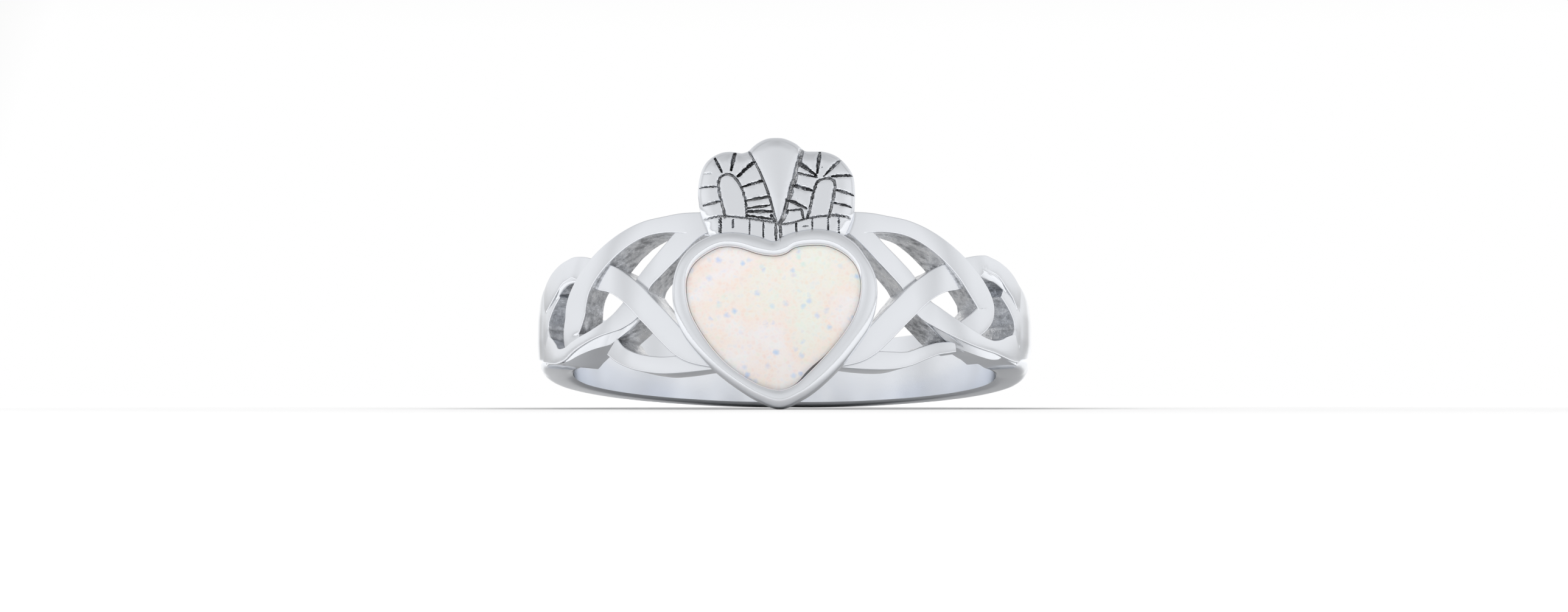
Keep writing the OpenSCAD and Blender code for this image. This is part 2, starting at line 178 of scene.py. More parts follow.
PETAL_RIGHT = [
    (0.850, -0.500, 10.07, 0.859, -0.514, 10.05, 0.871, -0.519, 10.00),
    (0.811, -0.478, 10.11, 0.836, -0.553, 10.06, 0.855, -0.558, 9.75),
    (0.765, -0.478, 10.14, 0.790, -0.580, 10.08, 0.832, -0.585, 9.40),
    (0.711, -0.466, 10.16, 0.735, -0.572, 10.06, 0.802, -0.580, 9.15),
    (0.677, -0.452, 10.16, 0.690, -0.550, 10.03, 0.768, -0.562, 9.00),
    (0.644, -0.435, 10.16, 0.650, -0.525, 9.99, 0.735, -0.534, 8.95),
    (0.610, -0.408, 10.14, 0.620, -0.500, 9.96, 0.705, -0.515, 8.95),
    (0.585, -0.375, 10.10, 0.595, -0.475, 9.92, 0.680, -0.495, 8.95),
]
WEDGE_RIGHT = [
    (0.651, -0.488, 10.08, 0.669, -0.532, 9.88, 0.672, -0.545, 9.86),
    (0.619, -0.452, 10.14, 0.631, -0.499, 9.94, 0.634, -0.512, 9.86),
    (0.592, -0.404, 10.16, 0.597, -0.474, 9.98, 0.600, -0.487, 9.88),
    (0.562, -0.351, 10.13, 0.561, -0.399, 10.01, 0.564, -0.412, 9.92),
    (0.526, -0.299, 10.08, 0.534, -0.330, 10.02, 0.537, -0.342, 9.94),
    (0.499, -0.239, 10.03, 0.502, -0.250, 10.00, 0.505, -0.260, 9.94),
    (0.459, -0.138, 9.99, 0.461, -0.145, 9.97, 0.463, -0.152, 9.92),
]
LENS_LEFT = [
    (0.727, 0.415, 9.96, 0.727, 0.395, 9.94, 0.737, 0.384, 9.92),
    (0.781, 0.424, 10.10, 0.776, 0.401, 10.07, 0.781, 0.388, 9.99),
    (0.829, 0.405, 10.11, 0.821, 0.378, 10.07, 0.825, 0.361, 9.99),
    (0.884, 0.342, 10.07, 0.872, 0.311, 10.04, 0.874, 0.293, 9.99),
    (0.929, 0.262, 10.05, 0.915, 0.235, 10.03, 0.917, 0.221, 9.99),
    (0.958, 0.172, 10.04, 0.948, 0.157, 10.02, 0.957, 0.156, 9.99),
    (0.977, 0.066, 10.03, 0.972, 0.045, 10.01, 0.990, 0.041, 9.99),
    (0.979, -0.024, 10.02, 0.971, -0.034, 10.00, 0.984, -0.028, 9.99),
]
LENS_RIGHT = [
    (0.723, 0.570, 9.96, 0.737, 0.512, 9.94, 0.759, 0.461, 9.92),
    (0.775, 0.550, 10.09, 0.779, 0.488, 10.07, 0.791, 0.434, 9.99),
    (0.834, 0.493, 10.10, 0.825, 0.454, 10.07, 0.826, 0.424, 9.99),
    (0.889, 0.424, 10.06, 0.885, 0.386, 10.04, 0.892, 0.357, 9.99),
    (0.939, 0.342, 10.05, 0.935, 0.292, 10.03, 0.944, 0.253, 9.99),
    (0.983, 0.213, 10.04, 0.972, 0.185, 10.02, 0.977, 0.169, 9.99),
    (1.011, 0.062, 10.03, 1.004, 0.057, 10.01, 1.015, 0.066, 9.99),
    (1.015, -0.074, 10.02, 1.014, -0.074, 10.00, 1.033, -0.060, 9.99),
]
# Width of the band from the weave to the back: share of the way, and share of the way from the
# back's width to the side's.
BAND = [
    (0.00, 1.42), (0.08, 1.24), (0.16, 1.08), (0.23, 1.00), (0.32, 0.90), (0.45, 0.65),
    (0.59, 0.40), (0.73, 0.20), (1.00, 0.00),
]
# Outline of the opal, clockwise from the cleft, and of the rim round it: opal across and up as
# shares of half its size, and the rim's outer edge from there as shares of the rim's width.
HEART = [
    (0.01, 0.85, -0.05, 0.94), (0.14, 0.88, -0.10, 1.15), (0.26, 0.97, 0.05, 1.02),
    (0.46, 1.00, 0.15, 1.04), (0.64, 0.98, 0.41, 0.94), (0.81, 0.88, 0.61, 0.72),
    (0.93, 0.74, 0.71, 0.43), (0.99, 0.57, 0.92, 0.17), (1.00, 0.39, 1.02, -0.09),
    (0.97, 0.17, 1.04, -0.26), (0.895, -0.05, 1.04, -0.43), (0.765, -0.285, 1.02, -0.49),
    (0.60, -0.525, 0.92, -0.66), (0.415, -0.76, 0.76, -0.75), (0.26, -0.93, 0.46, -0.83),
    (0.09, -1.00, 0.00, -1.09), (-0.11, -0.95, -0.31, -0.85), (-0.31, -0.825, -0.53, -0.62),
    (-0.505, -0.655, -0.71, -0.45), (-0.675, -0.44, -0.89, -0.36), (-0.82, -0.20, -0.97, -0.34),
    (-0.935, 0.055, -0.94, -0.23), (-0.99, 0.31, -0.87, -0.06), (-0.99, 0.53, -0.81, 0.17),
    (-0.92, 0.725, -0.76, 0.43), (-0.78, 0.875, -0.64, 0.68), (-0.60, 0.975, -0.31, 0.85),
    (-0.40, 0.965, -0.08, 0.98), (-0.18, 0.88, 0.05, 1.11),
]
# Crown outline from the middle of the top, clockwise; its foot lies under the crest of the rim.
CROWN = [
    (0.05, 5.90), (0.40, 5.86), (0.80, 5.68), (1.05, 5.47), (1.20, 5.38), (1.50, 5.37),
    (1.85, 5.36), (2.20, 5.26), (2.50, 5.08), (2.80, 4.75), (2.99, 4.40), (3.05, 4.00),
    (3.05, 3.50), (3.02, 3.00), (2.95, 2.72), (2.80, 2.35), (2.64, 2.08), (2.30, 1.86),
    (1.42, 1.96), (0.67, 1.75), (0.08, 1.54), (-0.51, 1.75), (-1.26, 1.96), (-2.15, 1.88),
    (-2.42, 2.10), (-2.55, 2.45), (-2.70, 2.80), (-2.79, 3.05), (-2.84, 3.35), (-2.88, 3.70),
    (-2.87, 4.00), (-2.82, 4.35), (-2.72, 4.70), (-2.55, 4.98), (-2.30, 5.19), (-2.00, 5.33),
    (-1.70, 5.37), (-1.45, 5.34), (-1.25, 5.31), (-1.10, 5.34), (-0.97, 5.40), (-0.82, 5.55),
    (-0.60, 5.72), (-0.30, 5.86),
]
# Lines cut into the crown's face, as points across and up: the two beside the middle lobe, the
# tongue in each outer lobe, and the top of the crown's own band.
FAN_LEFT = [(-0.95, 5.33), (-0.69, 4.85), (-0.46, 4.37), (-0.275, 3.90), (-0.136, 3.48),
            (-0.02, 3.05), (0.118, 2.53)]
FAN_RIGHT = [(1.02, 5.41), (0.95, 5.035), (0.81, 4.47), (0.674, 3.95), (0.512, 3.336),
             (0.373, 2.86), (0.234, 2.51)]
TONGUE_LEFT = [(-1.83, 2.77), (-1.90, 3.10), (-2.01, 3.53), (-2.09, 3.95), (-2.08, 4.19),
               (-1.97, 4.37), (-1.76, 4.45), (-1.55, 4.37), (-1.34, 4.14), (-1.16, 3.76),
               (-1.04, 3.24), (-1.02, 2.75)]
TONGUE_RIGHT = [(1.28, 2.75), (1.37, 3.10), (1.46, 3.53), (1.56, 3.95), (1.65, 4.14),
                (1.83, 4.24), (2.06, 4.28), (2.25, 4.19), (2.31, 4.00), (2.27, 3.62),
                (2.20, 3.24), (2.09, 2.79)]
BAND_TOP = [(-2.62, 2.70), (-2.00, 2.82), (-1.50, 2.80), (-1.00, 2.73), (-0.50, 2.66),
            (0.00, 2.57), (0.25, 2.51), (0.50, 2.52), (0.80, 2.58), (1.10, 2.68),
            (1.50, 2.77), (2.00, 2.83), (2.50, 2.82), (2.88, 2.75)]
# Lines of the crown: points, half width, depth, roughness of its sides and floor.
LINES = [
    (FAN_LEFT, 0.045, 0.11, 0.3), (FAN_RIGHT, 0.075, 0.14, 0.7), (TONGUE_LEFT, 0.045, 0.11, 0.6),
    (TONGUE_RIGHT, 0.05, 0.12, 0.8), (BAND_TOP, 0.035, 0.09, 0.3),
]
CUT_ROUGH = 0.8
# Single cuts: across and up of each end, half width at the first and the second end, depth.
CUTS = [
    (-2.64, 4.49, -2.36, 4.48, 0.020, 0.020, 0.04), (-2.80, 3.94, -2.14, 3.97, 0.040, 0.035, 0.10),
    (-2.66, 3.24, -2.02, 3.40, 0.055, 0.035, 0.12), (-2.24, 5.08, -1.97, 4.52, 0.060, 0.040, 0.16),
    (-1.48, 5.27, -1.62, 4.60, 0.085, 0.045, 0.20), (-0.76, 4.92, -1.36, 4.36, 0.085, 0.055, 0.20),
    (-1.20, 3.95, -0.44, 4.18, 0.035, 0.070, 0.16), (-1.07, 3.41, -0.18, 3.57, 0.060, 0.075, 0.17),
    (-1.02, 3.12, -0.14, 3.24, 0.045, 0.050, 0.14), (-1.00, 3.00, -0.04, 3.00, 0.060, 0.060, 0.17),
    (-1.00, 2.84, -0.04, 2.70, 0.035, 0.050, 0.14), (-0.10, 2.85, 0.06, 2.62, 0.070, 0.050, 0.18),
    (1.74, 5.33, 1.64, 4.48, 0.070, 0.050, 0.18), (2.53, 5.03, 1.90, 4.36, 0.070, 0.035, 0.17),
    (2.94, 4.40, 2.20, 4.35, 0.060, 0.045, 0.15), (3.01, 3.64, 2.33, 3.83, 0.035, 0.060, 0.13),
    (2.92, 3.17, 2.28, 3.33, 0.035, 0.055, 0.13), (2.82, 2.80, 2.24, 2.88, 0.030, 0.045, 0.12),
    (0.96, 4.88, 1.60, 4.38, 0.095, 0.045, 0.21), (1.07, 5.40, 0.95, 4.78, 0.090, 0.090, 0.18),
    (0.88, 4.49, 1.62, 4.31, 0.040, 0.035, 0.12), (0.72, 4.02, 1.42, 3.80, 0.080, 0.070, 0.20),
    (0.56, 3.43, 1.22, 3.13, 0.090, 0.060, 0.21), (0.58, 3.03, 1.08, 3.08, 0.030, 0.030, 0.11),
    (0.88, 4.40, 0.78, 4.05, 0.060, 0.050, 0.12), (0.72, 3.85, 0.62, 3.52, 0.050, 0.060, 0.12),
    (0.56, 3.05, 0.28, 2.53, 0.060, 0.050, 0.14), (1.05, 3.10, 1.12, 2.75, 0.040, 0.050, 0.12),
    (-1.99, 2.10, -1.99, 2.80, 0.030, 0.030, 0.09), (-2.05, 2.20, -2.05, 2.75, 0.020, 0.020, 0.07),
    (-1.53, 2.40, -1.53, 2.68, 0.045, 0.030, 0.08), (-0.90, 2.05, -0.90, 2.74, 0.025, 0.025, 0.09),
    (-0.38, 2.00, -0.38, 2.64, 0.028, 0.028, 0.09), (0.10, 1.85, 0.08, 2.55, 0.045, 0.045, 0.14),
    (0.28, 1.85, 0.26, 2.52, 0.045, 0.045, 0.14), (0.86, 2.10, 0.86, 2.60, 0.050, 0.040, 0.12),
    (1.10, 2.42, 1.32, 2.44, 0.022, 0.018, 0.06), (1.46, 2.20, 1.46, 2.76, 0.022, 0.022, 0.08),
    (2.06, 2.20, 2.06, 2.82, 0.035, 0.030, 0.09), (2.46, 2.15, 2.46, 2.80, 0.030, 0.030, 0.09),
]


def mixed(a, b, t):
    return a + (b - a) * t


def smooth(rows, steps, loop=False):
    """A smooth curve through rows of numbers, with that many points to each row."""
    p = np.array(rows, float)
    n = len(p)
    i = np.arange(n if loop else n - 1)
    if loop:
        a, b, c, d = (p[(i + k) % n] for k in (-1, 0, 1, 2))
    else:
        a, b, c, d = p[np.maximum(i - 1, 0)], p[i], p[i + 1], p[np.minimum(i + 2, n - 1)]
    a, b, c, d = (v[:, None, :] for v in (a, b, c, d))
    t = (np.arange(steps) / steps)[None, :, None]
    q = b + (c - a) * t / 2 + (2 * a - 5 * b + 4 * c - d) * t**2 / 2
    q = (q + (3 * b - a - 3 * c + d) * t**3 / 2).reshape(-1, p.shape[1])
    return q if loop else np.vstack([q, p[-1:]])


def even(points, count, loop=False):
    """The same line with evenly spaced points."""
    p = np.vstack([points, points[:1]]) if loop else np.asarray(points, float)
    run = np.concatenate([[0], np.cumsum(np.linalg.norm(np.diff(p, axis=0), axis=1))])
    at = np.linspace(0, run[-1], count, endpoint=not loop)
    return np.stack([np.interp(at, run, p[:, k]) for k in range(p.shape[1])], -1)


def lattice_noise(x, z, cell, seed):
    """Soft noise from -1 to 1 over a plane, at that cell size."""
    rng = np.random.default_rng(seed)
    grid = rng.uniform(-1, 1, (256, 256))
    u, v = np.asarray(x) / cell + 1000, np.asarray(z) / cell + 1000
    i, j = np.floor(u).astype(int), np.floor(v).astype(int)
    fu, fv = u - i, v - j
    fu, fv = fu * fu * (3 - 2 * fu), fv * fv * (3 - 2 * fv)
    g = [grid[(i + a) % 256, (j + b) % 256] for a, b in ((0, 0), (1, 0), (0, 1), (1, 1))]
    return mixed(mixed(g[0], g[1], fu), mixed(g[2], g[3], fu), fv)


def round_finger(angle, r, z):
    return np.stack([r * np.sin(angle), -r * np.cos(angle), z], -1)


# Materials


def node_maker(tree):
    def node(kind, inputs=None, **settings):
        """A new node: settings are its properties, inputs hold sockets to link or plain values."""
        n = tree.nodes.new(kind)
        for key, value in settings.items():
            setattr(n, key, value)
        for key, value in (inputs or {}).items():
            if isinstance(value, bpy.types.NodeSocket):
                tree.links.new(value, n.inputs[key])
            else:
                n.inputs[key].default_value = value
        return n

    return node


def material(name):
    m = bpy.data.materials.new(name)
    m.use_nodes = True
    tree = m.node_tree
    return m, tree.nodes["Principled BSDF"], node_maker(tree), tree.links


def noise(node, place, scale, detail, roughness=0.5):
    return node("ShaderNodeTexNoise", {
        "Vector": place, "Scale": scale, "Detail": detail, "Roughness": roughness})


def blend(node, factor, a, b, kind="MIX"):
    """Colour b over colour a by that factor."""
    inputs = {"Factor": factor, "A": a, "B": b}
    return node("ShaderNodeMix", inputs, data_type="RGBA", blend_type=kind).outputs["Result"]


def maths(node, operation, a, b):
    return node("ShaderNodeMath", {0: a, 1: b}, operation=operation).outputs[0]


def ramp(node, source, stops):
    """Colours by a value from 0 to 1."""
    n = node("ShaderNodeValToRGB", {"Fac": source})
    elements = n.color_ramp.elements
    while len(elements) > 1:
        elements.remove(elements[-1])
    for k, (at, colour) in enumerate(stops):
        e = elements[0] if k == 0 else elements.new(at)
        e.position = at
        e.color = (*colour, 1)
    return n.outputs["Color"]


def grey(v):
    return (v, v, v)


def silver_material():
    m, shader, node, links = material("silver_polished")
    place = node("ShaderNodeTexCoord").outputs["Object"]
    wear = noise(node, place, 900.0, 4.0).outputs["Fac"]
    fine = noise(node, place, 6000.0, 2.0).outputs["Fac"]
    # Painted shade in the crown's cut lines: the colour is darker there, and the surface is rougher
    # too.
    dark = node("ShaderNodeAttribute", attribute_name="groove_shade").outputs["Fac"]
    tone = ramp(node, dark, [
        (0.0, (0.905, 0.928, 0.970)), (0.45, (0.70, 0.71, 0.73)), (1.0, (0.34, 0.345, 0.36))])
    # Painted shade darkens the colour in corners and seams.
    corner = node("ShaderNodeAmbientOcclusion", {"Distance": 0.00016}, samples=8, only_local=True)
    corner_shade = ramp(node, corner.outputs["AO"], [
        (0.25, grey(0.45)), (0.60, grey(0.84)), (0.85, grey(1.0))])
    links.new(blend(node, 1.0, tone, corner_shade, "MULTIPLY"), shader.inputs["Base Color"])
    shader.inputs["Metallic"].default_value = 1.0
    polish = ramp(node, wear, [(0.3, grey(0.13)), (0.7, grey(0.18))])
    links.new(blend(node, dark, polish, (0.55, 0.55, 0.55, 1)), shader.inputs["Roughness"])
    bump = node("ShaderNodeBump", {"Height": fine, "Strength": 0.05, "Distance": 0.00002})
    links.new(bump.outputs["Normal"], shader.inputs["Normal"])
    return m


def cast_material():
    m, shader, node, links = material("silver_as_cast")
    place = node("ShaderNodeTexCoord").outputs["Object"]
    sand = noise(node, place, 4200.0, 4.0, 0.65).outputs["Fac"]
    cloud = noise(node, place, 900.0, 2.0).outputs["Fac"]
    both = maths(node, "MULTIPLY", maths(node, "ADD", sand, cloud), 0.5)
    tone = ramp(node, both, [
        (0.36, (0.36, 0.365, 0.38)), (0.45, (0.66, 0.67, 0.69)), (0.54, (0.91, 0.92, 0.94)),
        (0.64, (0.98, 0.985, 0.99))])
    links.new(tone, shader.inputs["Base Color"])
    shader.inputs["Metallic"].default_value = 1.0
    links.new(ramp(node, sand, [(0.3, grey(0.40)), (0.7, grey(0.22))]), shader.inputs["Roughness"])
    bump = node("ShaderNodeBump", {"Height": sand, "Strength": 0.8, "Distance": 0.00006})
    links.new(bump.outputs["Normal"], shader.inputs["Normal"])
    return m


SILVER = silver_material()
CAST = cast_material()


def skin(name, rings, cast=(), worn=(0, 0)):
    """A closed mesh over rings of points, with a flat face at each end.

    cast names the columns that are rough as cast, and worn the first and last ring between which
    they are polished all the same.
    """
    rings = np.asarray(rings, float)
    m, n, _ = rings.shape
    i, j = np.arange(m - 1)[:, None] * n, np.arange(n)[None, :]
    k = (j + 1) % n
    quads = np.stack([i + j, i + k, i + n + k, i + n + j], -1).reshape(-1, 4)
    faces = quads.tolist() + [list(range(n - 1, -1, -1)), list(range((m - 1) * n, m * n))]
    verts = rings.reshape(-1, 3)
    p, q, r, s = (verts[quads[:, c]] for c in range(4))
    volume = np.einsum("ij,ij->", p, np.cross(q, r)) + np.einsum("ij,ij->", p, np.cross(r, s))
    if volume < 0:
        faces = [f[::-1] for f in faces]
    mesh = bpy.data.meshes.new(name)
    mesh.from_pydata(verts.tolist(), [], faces)
    mesh.materials.append(SILVER)
    mesh.materials.append(CAST)
    slots = np.tile(np.isin(np.arange(n), list(cast)), m - 1).astype(np.int32)
    slots[worn[0] * n:worn[1] * n] = 0
    mesh.polygons.foreach_set("material_index", np.append(slots, [0, 0]).astype(np.int32))
    obj = bpy.data.objects.new(name, mesh)
    bpy.context.scene.collection.objects.link(obj)
    return obj


def joined(base, others, operation):
    """base with the others added or cut away, as one closed mesh. The others are used up."""
    for other in others:
        step = base.modifiers.new(other.name, "BOOLEAN")
        step.operation = operation
        step.solver = "MANIFOLD"
        step.object = other
    bpy.context.view_layer.update()
    finished = base.evaluated_get(bpy.context.evaluated_depsgraph_get())
    mesh = bpy.data.meshes.new_from_object(finished)
    base.modifiers.clear()
    base.data = mesh
    for other in others:
        bpy.data.objects.remove(other)
    return base


WALL_LEVELS = 9
BEVEL_STEPS = 3
FACE_STEPS = 6
CAST_ROUGH = 0.022
# Below this radius a strand along the ring's own edge is cut back, at most by EDGE_CUT.
EDGE_CUT_R = 8.96
EDGE_CUT_RUN = 0.3
EDGE_CUT = 0.15
# From here on, as a share of the weave's reach, the low strand's walls are polished.
WORN_FROM = 0.84


def own_way(name, q, side):
    """Where a strand runs differently on the two sides: side is 1 to the heart's right, -1 left."""
    share, height = q[:, 0].copy(), q[:, 1].copy()
    # The left arc turns back earlier and is wider there.
    if name == "arc" and side < 0:
        turn = np.exp(-((height / 0.24) ** 2)) * (share > 0.6)
        q[:, 0] -= 0.030 * turn
        q[:, 2] += 0.22 * turn
    # The right high strand runs higher and thinner above the outer opening.
    if name == "high" and side > 0:
        outer = np.clip((share - 0.70) / 0.07, 0, 1) * np.clip((1.02 - share) / 0.06, 0, 1)
        q[:, 1] += 0.055 * outer
        q[:, 2] -= 0.26 * outer
    # The low strand's upper half is wider on the left, thinner on the right.
    if name == "low":
        q[:, 2] *= 1 + (0.05 if side < 0 else -0.14) * np.clip((0.42 - share) / 0.1, 0, 1)
    return q


def wall_noise(count, seed):
    """Roughness of a strand's two walls, at each point along it and each level up the wall."""
    rng = np.random.default_rng(seed)
    along = np.arange(count)
    marks = np.linspace(0, count - 1, count // 3)
    rough = np.empty((2, count, WALL_LEVELS))
    for level in range(WALL_LEVELS):
        for wall in range(2):
            rough[wall, :, level] = np.interp(along, marks, rng.normal(0, 1, len(marks)))
    return rough * CAST_ROUGH


def strand(name, rows, steps, lean_in, lean_out, side, seed):
    """One woven strand, swept round the ring. lean_in and lean_out: how far its walls lean in."""
    q = own_way(name, smooth(rows, steps), side)
    s, z = q[:, 0] * WEAVE_REACH * BAND_R, q[:, 1] * WEAVE_HALF
    w = q[:, 2] * STRAND_W / 2
    r = BAND_R + mixed(-STRAND_DIP, STRAND_RISE, q[:, 3])
    run = np.gradient(np.stack([s, z], -1), axis=0)
    across = np.stack([-run[:, 1], run[:, 0]], -1) / np.linalg.norm(run, axis=1)[:, None]
    knee = r - STRAND_BEVEL
    edge = r - STRAND_BEVEL * 0.2
    rough = wall_noise(len(q), seed)

    # One section of the strand, from the foot of its inner wall over its face to the outer foot.
    points = []
    for k, u in enumerate(np.linspace(0, 1, WALL_LEVELS)):
        off = -mixed(w * (1 - lean_in), w, u) + rough[0, :, k] * (1 - u)
        points.append((off, mixed(CORE_R, knee, u)))
    bevel = np.arange(1, BEVEL_STEPS + 1) / (BEVEL_STEPS + 1)
    for t in bevel:
        points.append((-w + STRAND_BEVEL * t * t, mixed(edge, knee, (1 - t) ** 2)))
    for v in np.linspace(0, 1, FACE_STEPS):
        off = mixed(-w + STRAND_BEVEL, w - STRAND_BEVEL, v)
        points.append((off, mixed(r, edge, (2 * v - 1) ** 2)))
    for t in bevel[::-1]:
        points.append((w - STRAND_BEVEL * t * t, mixed(edge, knee, (1 - t) ** 2)))
    for k, u in enumerate(np.linspace(1, 0, WALL_LEVELS)):
        radius = mixed(CORE_R, knee, u)
        off = mixed(w * (1 - lean_out), w, u) + rough[1, :, k] * (1 - u) * (lean_out > 0)
        if lean_out == 0:
            off = off - EDGE_CUT * np.clip((EDGE_CUT_R - radius) / EDGE_CUT_RUN, 0, 1)
        points.append((off, radius))
    off = np.stack([p[0] for p in points], 1)
    rad = np.stack([p[1] for p in points], 1)
    angle = (s[:, None] + across[:, :1] * off) / BAND_R
    count = len(points)
    cast = list(range(WALL_LEVELS - 1)) if lean_in else []
    cast += list(range(count - WALL_LEVELS, count - 1)) if lean_out else []
    worn = (int(np.argmax(q[:, 0] > WORN_FROM)), len(q)) if name == "low" else (0, 0)
    rings = round_finger(angle * side, rad, z[:, None] + across[:, 1:] * off)
    return skin(name, rings, cast, worn)


FACET_STEPS = 6
# How far a facet reaches under the strand beside it, the bevel at its lower edge, the radius and
# the run over which that bevel comes in, and the radius at the foot of the bevel.
FACET_HOLD = 0.34
FACET_BEVEL = 0.13
FACET_BEVEL_R = 9.5
FACET_BEVEL_RUN = 0.4
FACET_FOOT_R = 8.7


def facet(name, rows, belly, side):
    """A sloping facet beside a strand, solid down to the finger. belly: how far it bulges."""
    q = smooth(rows, FACET_STEPS)
    q = q * np.tile([WEAVE_REACH, WEAVE_HALF, 1], 3)
    top, mid, low = q[:, 0:3], q[:, 3:6], q[:, 6:9]
    run = np.gradient(top[:, :2] * [BAND_R, 1], axis=0)
    way = np.stack([-run[:, 1], run[:, 0], 0 * run[:, 0]], -1)
    way = way / np.linalg.norm(run, axis=1)[:, None]
    way = way * np.sign(way[:, 1].mean()) / [BAND_R, 1, 1]
    under = top + way * FACET_HOLD
    inward = np.clip((FACET_BEVEL_R - low[:, 2:]) / FACET_BEVEL_RUN, 0, 1)
    bevel = low + way * FACET_BEVEL * inward

    def at(p, radius):
        return np.column_stack([p[:, :2], np.broadcast_to(radius, len(p))])

    bend = at(low, mixed(low[:, 2], mid[:, 2], belly))
    points = [at(under, CORE_R), at(under, top[:, 2] - 0.10)]
    points += [at(mixed(under, top, 0.5), top[:, 2] - 0.04)]
    points += [mixed(top, mid, t) for t in (0.0, 0.35, 0.7)]
    for t in np.linspace(0, 1, 11):
        points.append((1 - t) ** 2 * mid + 2 * t * (1 - t) * bend + t * t * low)
    points += [at(bevel, np.minimum(low[:, 2] - 0.02, FACET_FOOT_R)), at(bevel, CORE_R)]
    p = np.stack(points, 1)
    cast = () if name == "petal" else (len(points) - 3, len(points) - 2)
    worn = (0, 2 * FACET_STEPS) if name == "wedge" else (0, 0)
    return skin(name, round_finger(p[..., 0] * side, p[..., 2], p[..., 1]), cast, worn)


def rounded(points, reach, steps):
    """A closed polygon with every corner rounded off by up to that reach."""
    p = np.asarray(points, float)
    out = []
    for i in range(len(p)):
        a, b, c = p[i - 1], p[i], p[(i + 1) % len(p)]
        start = b + (a - b) * min(reach / np.linalg.norm(a - b), 0.5)
        end = b + (c - b) * min(reach / np.linalg.norm(c - b), 0.5)
        for t in np.linspace(0, 1, steps):
            out.append((1 - t) ** 2 * start + 2 * t * (1 - t) * b + t * t * end)
    return np.array(out)


BAND_RINGS = 181


def band():
    """The plain band from weave to weave, round-edged, squarer where the weave runs into it."""
    share, width = zip(*BAND)
    rings = []
    for i in np.linspace(-1, 1, BAND_RINGS):
        h = mixed(BACK_W, SIDE_W, np.interp(1 - abs(i), share, width)) / 2
        soft = BAND_ROUND * np.interp(1 - abs(i), (0.0, 0.14), (0.4, 1.0))
        top = BAND_R - np.interp(1 - abs(i), (0.0, 0.025), (0.06, 0.0))
        side = [(h - BORE_BEVEL * 3, CORE_R), (h, BORE_R + BORE_BEVEL * 2)]
        side += [(h, top - soft * 1.1), (h - soft * 0.2, top - soft * 0.68),
                 (h - soft * 0.6, top - soft * 0.38), (h - soft * 1.3, top - soft * 0.15),
                 (h * 0.3, top)]
        outline = rounded([(-a, b) for a, b in side] + side[::-1], 0.14, 4)
        angle = math.pi + (math.pi - WEAVE_REACH) * i
        rings.append(round_finger(angle, outline[:, 1], outline[:, 0]))
    return skin("band", rings)


SCOOP_AT = math.radians(44)
SCOOP_UP = 0.12
# Half its size round the finger, up and down, and out into the metal.
SCOOP_REACH = (1.55, 1.15, 0.62)
SCOOP_POINTS = 48


def scoop(side):
    """A shallow hollow filed into the finger side behind the weave's middle opening."""
    turn = np.linspace(0, 2 * math.pi, SCOOP_POINTS, endpoint=False)
    wide, high, deep = SCOOP_REACH
    rings = []
    for lift in np.linspace(-0.98, 0.98, 17):
        size = math.sqrt(1 - lift * lift)
        across, up = wide * size * np.cos(turn), high * size * np.sin(turn)
        angle = side * (SCOOP_AT + across / BORE_R)
        rings.append(round_finger(angle, BORE_R + deep * lift, SCOOP_UP + up))
    return skin("scoop", rings, range(SCOOP_POINTS))


HEART_LINE = smooth(HEART, 12, loop=True)


def heart_loop(share, depth, size=1.0):
    """The opal's outline at that distance in front of the axis, widened by a share of the rim."""
    q = HEART_LINE
    x = (q[:, 0] * HEART_W / 2 + q[:, 2] * RIM_W * share) * size
    z = (q[:, 1] * HEART_H / 2 + q[:, 3] * RIM_W * share) * size - HEART_DROP
    return np.stack([x, np.full(len(q), -depth), z], -1)


OPAL_EDGE = HEAD_OUT - OPAL_SINK
OPAL_BACK = OPAL_EDGE - OPAL_T
RIM_BACK = HEAD_OUT - RIM_DOME - RIM_WALL
POCKET_FLOOR = OPAL_BACK - OPAL_GAP
POCKET_SIDE = OPAL_GAP / RIM_W
# Section of the rim: share of its width, drop under the crest.
RIM = [(1.00, 0.32), (1.00, 0.24), (0.98, 0.16), (0.92, 0.10), (0.82, 0.055), (0.70, 0.022),
       (0.58, 0.006), (0.47, 0.0), (0.36, 0.004), (0.26, 0.016), (0.17, 0.04), (0.10, 0.075),
       (0.06, 0.11)]


# The block behind the rim, as a share of the rim's size.
BLOCK = 0.72
# What is cleared round the stone, and where the stone's side lies, as shares of the rim's width
# and of the pocket's room.
ROOM = 0.35
SEAT = 0.55


def heart_setting():
    """The rim with its pocket, and the narrower block behind that carries it."""
    rings = [heart_loop(1, CORE_R) * [BLOCK, 1, BLOCK] - [0, 0, (1 - BLOCK) * HEART_DROP],
             heart_loop(1, RIM_BACK - 0.04), heart_loop(1, RIM_BACK)]
    rings += [heart_loop(share, HEAD_OUT - drop) for share, drop in smooth(RIM, 2)]
    rings += [heart_loop(POCKET_SIDE, OPAL_EDGE + OPAL_GAP), heart_loop(POCKET_SIDE, POCKET_FLOOR)]
    return skin("setting", rings)


def pocket_room():
    """What is cleared of strands before the setting goes in."""
    rings = [heart_loop(ROOM, POCKET_FLOOR - OPAL_GAP), heart_loop(ROOM, HEAD_OUT + OPAL_SINK)]
    return skin("room", rings)


OPAL_RINGS = (1.0, 0.997, 0.99, 0.975, 0.95, 0.91, 0.86, 0.8, 0.72, 0.62, 0.52, 0.42, 0.32, 0.22,
              0.12, 0.05)
OPAL_BEVEL = 0.05
OPAL_SIDE = 0.06
# Where the stone stands off its seat and shows a gap: across and up, spread, depth as rim widths.
OPAL_SLIP_AT = (1.4, -3.1)
OPAL_SLIP_SPREAD = 0.35
OPAL_SLIP = 0.10


